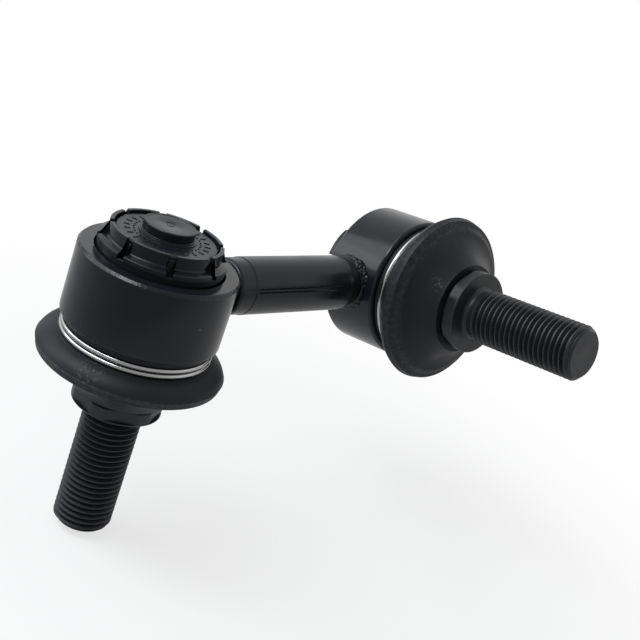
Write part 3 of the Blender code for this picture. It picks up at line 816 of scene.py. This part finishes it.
# The rim mark drives the rim's lighter tint: scuffs, and a painted highlight along the rim.
for boot in (upper_boot, lower_boot):
    mark(boot, "rim", lambda radius, height: clamped((radius - 13.6) / 1.2)
         * clamped((-12.3 - height) / 0.3))
print("boot faces:", len(upper_boot.polygons), "and", len(lower_boot.polygons))

# %% [markdown]
# Both boot pieces are carried to each joint, and their place is baked into their meshes.


for side in "ab":
    top = piece(f"dust_boot_{side}_upper", upper_boot, side, boot_rubber, 50.0)
    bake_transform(top)
    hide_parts(f"dust_boot_{side}")
    skirt = piece(f"dust_boot_{side}_skirt", lower_boot, side, boot_rubber, 50.0)
    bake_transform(skirt)
    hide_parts(f"dust_boot_{side}")
print("boots done")

# %% [markdown]
# ## Wire clip
# A length of round spring wire, wound twice round the boot's collar. The two turns lie side by
# side, with a short jog between them at the back. The tree lays points along the path, moves each
# one down by a smooth step at the jog, and sweeps a circle along them.

# %% Clip tree
clip_tree, clip_in = new_tree("wound_clip", Coil=float, Wire=float, Pitch=float, Depth=float,
                              Start=float, Total=float, Jog=float, Jog_Length=float, Points=int,
                              Finish="material")
line = add(clip_tree, "GeometryNodeMeshLine", {"Count": clip_in["Points"]})
place = add(clip_tree, "GeometryNodeInputIndex")
last = calc(clip_tree, "SUBTRACT", clip_in["Points"], 1.0)
gone = calc(clip_tree, "MULTIPLY", calc(clip_tree, "DIVIDE", place, last), clip_in["Total"])
jog_end = calc(clip_tree, "ADD", clip_in["Jog"], clip_in["Jog_Length"])
jogged = add(clip_tree, "ShaderNodeMapRange",
             {"Value": gone, "From Min": clip_in["Jog"], "From Max": jog_end},
             interpolation_type="SMOOTHSTEP")
depth = calc(clip_tree, "MULTIPLY_ADD", jogged, clip_in["Pitch"], clip_in["Depth"])
height = calc(clip_tree, "MULTIPLY", depth, -1.0)
around = calc(clip_tree, "ADD", clip_in["Start"], gone)
path = add(clip_tree, "GeometryNodeSetPosition",
           {"Geometry": line, "Position": polar(clip_tree, clip_in["Coil"], around, height)})
path = add(clip_tree, "GeometryNodeMeshToCurve", {"Mesh": path})
path = add(clip_tree, "GeometryNodeSetCurveNormal", {"Curve": path}, mode="Z_UP")
section = add(clip_tree, "GeometryNodeCurvePrimitiveCircle",
              {"Resolution": 28, "Radius": clip_in["Wire"]})
swept = add(clip_tree, "GeometryNodeCurveToMesh",
            {"Curve": path, "Profile Curve": section, "Fill Caps": True})
end_tree(clip_tree, swept, clip_in["Finish"])
clip = grown(clip_tree, "clip", Coil=12.95, Wire=0.44, Pitch=1.05, Depth=8.46,
             Start=math.radians(118), Total=math.radians(656), Jog=math.radians(310),
             Jog_Length=math.radians(50), Points=700, Finish=clip_wire)
clip_mesh = finished_mesh(joined(clip), "clip", 0.0005)
for side in "ab":
    wire = piece(f"wire_clip_{side}_wound", clip_mesh, side, clip_wire, 40.0)
    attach(wire, "link")
    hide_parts(f"wire_clip_{side}")
print("clip faces:", len(clip_mesh.polygons))

# %% [markdown]
# ## Steel ring in the boot's lip
# A plain pressed ring keeps the lip round on the stud. It is hidden inside the lip, and a spun
# outline with small fillets is all it needs.

# %% Lip ring
ring_outline = rounded([(6.3, -17.7, 0.1), (7.3, -17.7, 0.25), (7.3, -19.25, 0.1),
                        (6.3, -19.25, 0.1)], closed=True, step_deg=30.0)
lip_ring = finished_mesh(lathe(ring_outline, evenly(96), closed=True), "lip_ring")
for side in "ab":
    ring = piece(f"boot_ring_{side}_pressed", lip_ring, side, ring_steel)
    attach(ring, f"ring_{side}")
    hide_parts(f"boot_ring_{side}")
print("ring faces:", len(lip_ring.polygons))

# %% [markdown]
# ## The bar
# The bar is round steel, turned down at both ends to the necks that are welded to the housings.
# Near joint A it is a little thinner, up to a ring mark, and a narrow groove, faint at its far end,
# runs along the side that faces the camera. The groove is made by the lathe's shape function, with
# points set close together round it.

# %% Bar with its groove
BAR_RADIUS = 5.32
BAR_NECK = 3.9
BAR_START = 13.4
BAR_END = SPAN - BAR_START
GROOVE_DEG = 164.0
GROOVE_WIDTH = 0.85
GROOVE_DEPTH = 0.5
GROOVE_START = 20.1
GROOVE_END = 43.5


def bar_angles():
    """Angles round the bar, close together at the groove. Angle 0 is +Y and 90 degrees is up."""
    fine = [i * 0.4 for i in range(-15, 16)]
    coarse = [6.0 + i * 4.0 for i in range(1, 87)]
    return [math.radians(GROOVE_DEG + a) for a in fine + coarse]


def grooved(radius, height, angle):
    """Sinks the groove into the bar's middle, shallower towards its far end."""
    off = math.remainder(angle - math.radians(GROOVE_DEG), math.tau) * BAR_RADIUS
    across = max(0.0, 1.0 - (2 * off / GROOVE_WIDTH) ** 2)
    start = clamped((height - GROOVE_START) / 0.5)
    end = clamped((GROOVE_END - height) / 10.0)
    return radius - GROOVE_DEPTH * math.sqrt(across) * start * end, height


bar_ends = rounded([
    (0.0, BAR_START), (BAR_NECK, BAR_START), (BAR_NECK, 15.9, 0.1), (5.2, 15.9, 0.8),
    (5.2, 19.5, 0.2), (BAR_RADIUS, 19.75, 0.15), (BAR_RADIUS, GROOVE_START)], step_deg=14.0)
bar_middle = [(BAR_RADIUS, GROOVE_START + i * 0.5) for i in range(1, 47)]
bar_far = rounded([(BAR_RADIUS, 43.9), (BAR_RADIUS, 45.4, 3.0), (4.7, 47.9, 0.3),
                   (BAR_NECK, 47.9, 0.1), (BAR_NECK, BAR_END), (0.0, BAR_END)], step_deg=10.0)
LAY_ALONG_X = Matrix(((0, 0, 1, 0), (1, 0, 0, 0), (0, 1, 0, 0), (0, 0, 0, 1)))
bar_outline = bar_ends + bar_middle + bar_far[1:]
bar_mesh = finished_mesh(lathe(bar_outline, bar_angles(), shape=grooved), "bar")
bar_mesh.transform(LAY_ALONG_X)
bar = piece("rod_painted", bar_mesh, "a", bar_paint)
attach(bar, "link")
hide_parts("rod")
print("bar faces:", len(bar_mesh.polygons))

# %% [markdown]
# ## Weld beads
# The weld runs round the neck along the curve where the round neck meets the round housing, so it
# is shaped like a saddle. The outline is spun about the bar, and each point is then pushed along
# the bar to stay at its own distance from the housing's side. Noise gives the crumbs and ripples
# of melted metal, which are coarsest next to the housing.

# %% Weld beads
def saddled(radius, outward, angle):
    """Carries a point to its distance from the housing's side, with the crumbs of a weld."""
    wave = noise.noise(Vector((math.cos(angle) * 2.2, math.sin(angle) * 2.2, 0.3)))
    ripple = noise.noise(Vector((math.cos(angle) * 7.0, math.sin(angle) * 7.0, outward)))
    crumb = noise.noise(Vector((math.cos(angle) * 17.0, math.sin(angle) * 17.0, outward * 2.5)))
    swell = clamped((radius - 4.0) / 0.6) * clamped(1.5 - outward, 0.15)
    r = radius + swell * (0.14 * wave + 0.16 * ripple + 0.2 * crumb)
    across = r * math.cos(angle)
    return r, (math.sqrt(HOUSING_RADIUS ** 2 - across ** 2) + outward
               + swell * (0.16 * ripple + 0.16 * crumb))


BEADS = {
    "a": flowing([(3.92, 2.3), (4.5, 2.2), (4.75, 1.7), (4.8, 1.1), (4.95, 0.6), (5.2, 0.25),
                  (5.4, 0.0), (5.45, -0.25)], 5),
    "b": flowing([(3.92, 1.3), (4.55, 1.2), (4.72, 0.95), (4.85, 0.7), (5.05, 0.55), (5.25, 0.35),
                  (5.4, 0.05), (5.45, -0.25)], 5),
}
for side, joint, turn in (("a", "a", 0.0), ("b", "bar_b", math.pi)):
    bead_outline = BEADS[side] + [(4.4, -0.25), (3.92, -0.25), (3.92, 0.4)]
    bead_mesh = finished_mesh(lathe(bead_outline, evenly(216), closed=True, shape=saddled), "bead")
    bead_mesh.transform(LAY_ALONG_X)
    bead_mesh.transform(Matrix.Rotation(turn, 4, "Z"))
    bead = piece(f"weld_bead_{side}_run", bead_mesh, joint, weld_paint, 50.0)
    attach(bead, "link")
    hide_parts(f"weld_bead_{side}")
print("bead faces:", len(bead_mesh.polygons))

# %% [markdown]
# ## Floor
# The photograph has a plain white ground. The floor is pale and takes the object's shadow, and it
# fades to pure white away from the middle for the rays that come from the camera, so that its rim
# can't be seen. Dark gloss would show a white floor as a grey haze, so mirrored rays see it dimmer.

# %% Floor
WHITE = (1.0, 1.0, 1.0, 1.0)
FLOOR_MIDDLE = (0.035, -0.005, -0.0545)


def ray_kinds(tree):
    """1 for rays from the camera, and 1 for rays from a mirror or through a clear piece."""
    rays = tree.nodes.new("ShaderNodeLightPath").outputs
    mirrored = calc(tree, "MAXIMUM", rays["Is Glossy Ray"], rays["Is Transmission Ray"])
    return rays["Is Camera Ray"], mirrored


floor_mesh = bpy.data.meshes.new("floor")
bm = bmesh.new()
bmesh.ops.create_circle(bm, cap_ends=True, segments=128, radius=0.15,
                        matrix=Matrix.Translation(FLOOR_MIDDLE))
bm.to_mesh(floor_mesh)
bm.free()
floor = new_object("floor", floor_mesh)
floor_finish, floor_tree, floor_shader, floor_coords = new_finish(
    "pale_floor", (0.9, 0.9, 0.9), 0.8)
seen, mirrored = ray_kinds(floor_tree)
middle = near(floor_tree, floor_coords, FLOOR_MIDDLE, 0.06, 0.145)
seen_white = calc(floor_tree, "MULTIPLY", seen, span(floor_tree, middle, 0.0, 1.0, 1.0, 0.7))
mirrored_white = calc(floor_tree, "MULTIPLY", mirrored, 0.9)
white_share = calc(floor_tree, "MAXIMUM", seen_white, mirrored_white)
glow = add(floor_tree, "ShaderNodeEmission",
           {"Color": WHITE, "Strength": span(floor_tree, mirrored, 0.0, 1.0, 1.0, 0.62)})
mixed = add(floor_tree, "ShaderNodeMixShader",
            {0: white_share, 1: floor_shader.outputs[0], 2: glow})
floor_tree.links.new(mixed, floor_tree.nodes["Material Output"].inputs["Surface"])
floor_mesh.materials.append(floor_finish)
print("floor at", FLOOR_MIDDLE[2] * 1000, "mm")

# %% [markdown]
# ## A white tent
# The world is white for the camera. As a light it is a photographer's tent: full in the distance,
# weaker on the camera's side, where the photographer stands, and weaker below and overhead. That is
# what makes the faces towards the camera dark and draws light bands along the upper sides.
# Diffuse rays get half of it, because the lamps give the rest.

# %% World
TOWARD_CAMERA = Vector((-0.674, -0.739, 0.0))
world = bpy.data.worlds.new("white_tent")
bpy.context.scene.world = world
world.use_nodes = True
tent = world.node_tree
direction = tent.nodes.new("ShaderNodeTexCoord").outputs["Generated"]
up_down = tent.nodes.new("ShaderNodeSeparateXYZ")
tent.links.new(direction, up_down.inputs[0])
facing = tent.nodes.new("ShaderNodeVectorMath")
facing.operation = "DOT_PRODUCT"
tent.links.new(direction, facing.inputs[0])
facing.inputs[1].default_value = TOWARD_CAMERA
front = span(tent, facing.outputs["Value"], -0.3, 0.8, 1.0, 0.5)
above = span(tent, up_down.outputs["Z"], -0.12, 0.12, 0.6, 1.0)
overhead = span(tent, up_down.outputs["Z"], 0.4, 0.9, 1.0, 0.7)
brightness = calc(tent, "MULTIPLY", calc(tent, "MULTIPLY", front, above), overhead)
tent_seen, tent_mirrored = ray_kinds(tent)
as_light = calc(tent, "MULTIPLY", brightness, span(tent, tent_mirrored, 0.0, 1.0, 0.5, 1.0))
background = tent.nodes["Background"]
background.inputs["Color"].default_value = WHITE
tent.links.new(calc(tent, "MAXIMUM", as_light, tent_seen), background.inputs["Strength"])
print("world:", world.name, "with", len(tent.nodes), "nodes")

# %% [markdown]
# ## Lamps
# Three soft boxes stand behind the object on the left. The large key gives most of the light. A
# small low one makes the bright band along housing B, and a long one, higher up, draws the line of
# light on the upper rim of housing A. Their colour is a little cool, as in the photograph.

# %% Lamps
LAMP_TARGET = Vector((0.035, -0.005, 0.0))
LAMP_COLOR = (0.92, 0.97, 1.0)


def softbox(name, location, width, height, watts):
    """An area lamp that looks at the middle of the object."""
    lamp = bpy.data.lights.new(name, "AREA")
    lamp.shape = "RECTANGLE"
    lamp.size = width
    lamp.size_y = height
    lamp.energy = watts
    lamp.color = LAMP_COLOR
    obj = new_object(name, lamp)
    obj.location = location
    aim = LAMP_TARGET - Vector(location)
    obj.rotation_euler = aim.to_track_quat("-Z", "Y").to_euler()


softbox("key", (-0.23, 0.235, 0.40), 0.45, 0.45, 1.3)
softbox("side", (-0.254, 0.365, 0.145), 0.18, 0.14, 0.24)
softbox("edge", (-0.247, 0.045, 0.42), 0.3, 0.12, 0.95)

# %% [markdown]
# ## Camera
# The camera was found by fitting the circles of both joints to the photograph. Its place and its
# three directions are written here in the part's own frame.

# %% Camera
camera = bpy.data.cameras.new("camera")
camera.lens = 67.435
camera.sensor_width = 36.0
camera.clip_start = 0.01
viewer = new_object("camera", camera)
right = Vector((0.6875, -0.6503, 0.3231))
up = Vector((0.0463, 0.4833, 0.8742))
toward = right.cross(up)
viewer.matrix_world = Matrix.Translation((-0.14313, -0.15704, 0.08761)) @ Matrix(
    (right, up, toward)).transposed().to_4x4()
bpy.context.scene.camera = viewer
bpy.context.scene.view_settings.view_transform = "Standard"
print("camera at", [round(v * 1000, 1) for v in viewer.location], "mm")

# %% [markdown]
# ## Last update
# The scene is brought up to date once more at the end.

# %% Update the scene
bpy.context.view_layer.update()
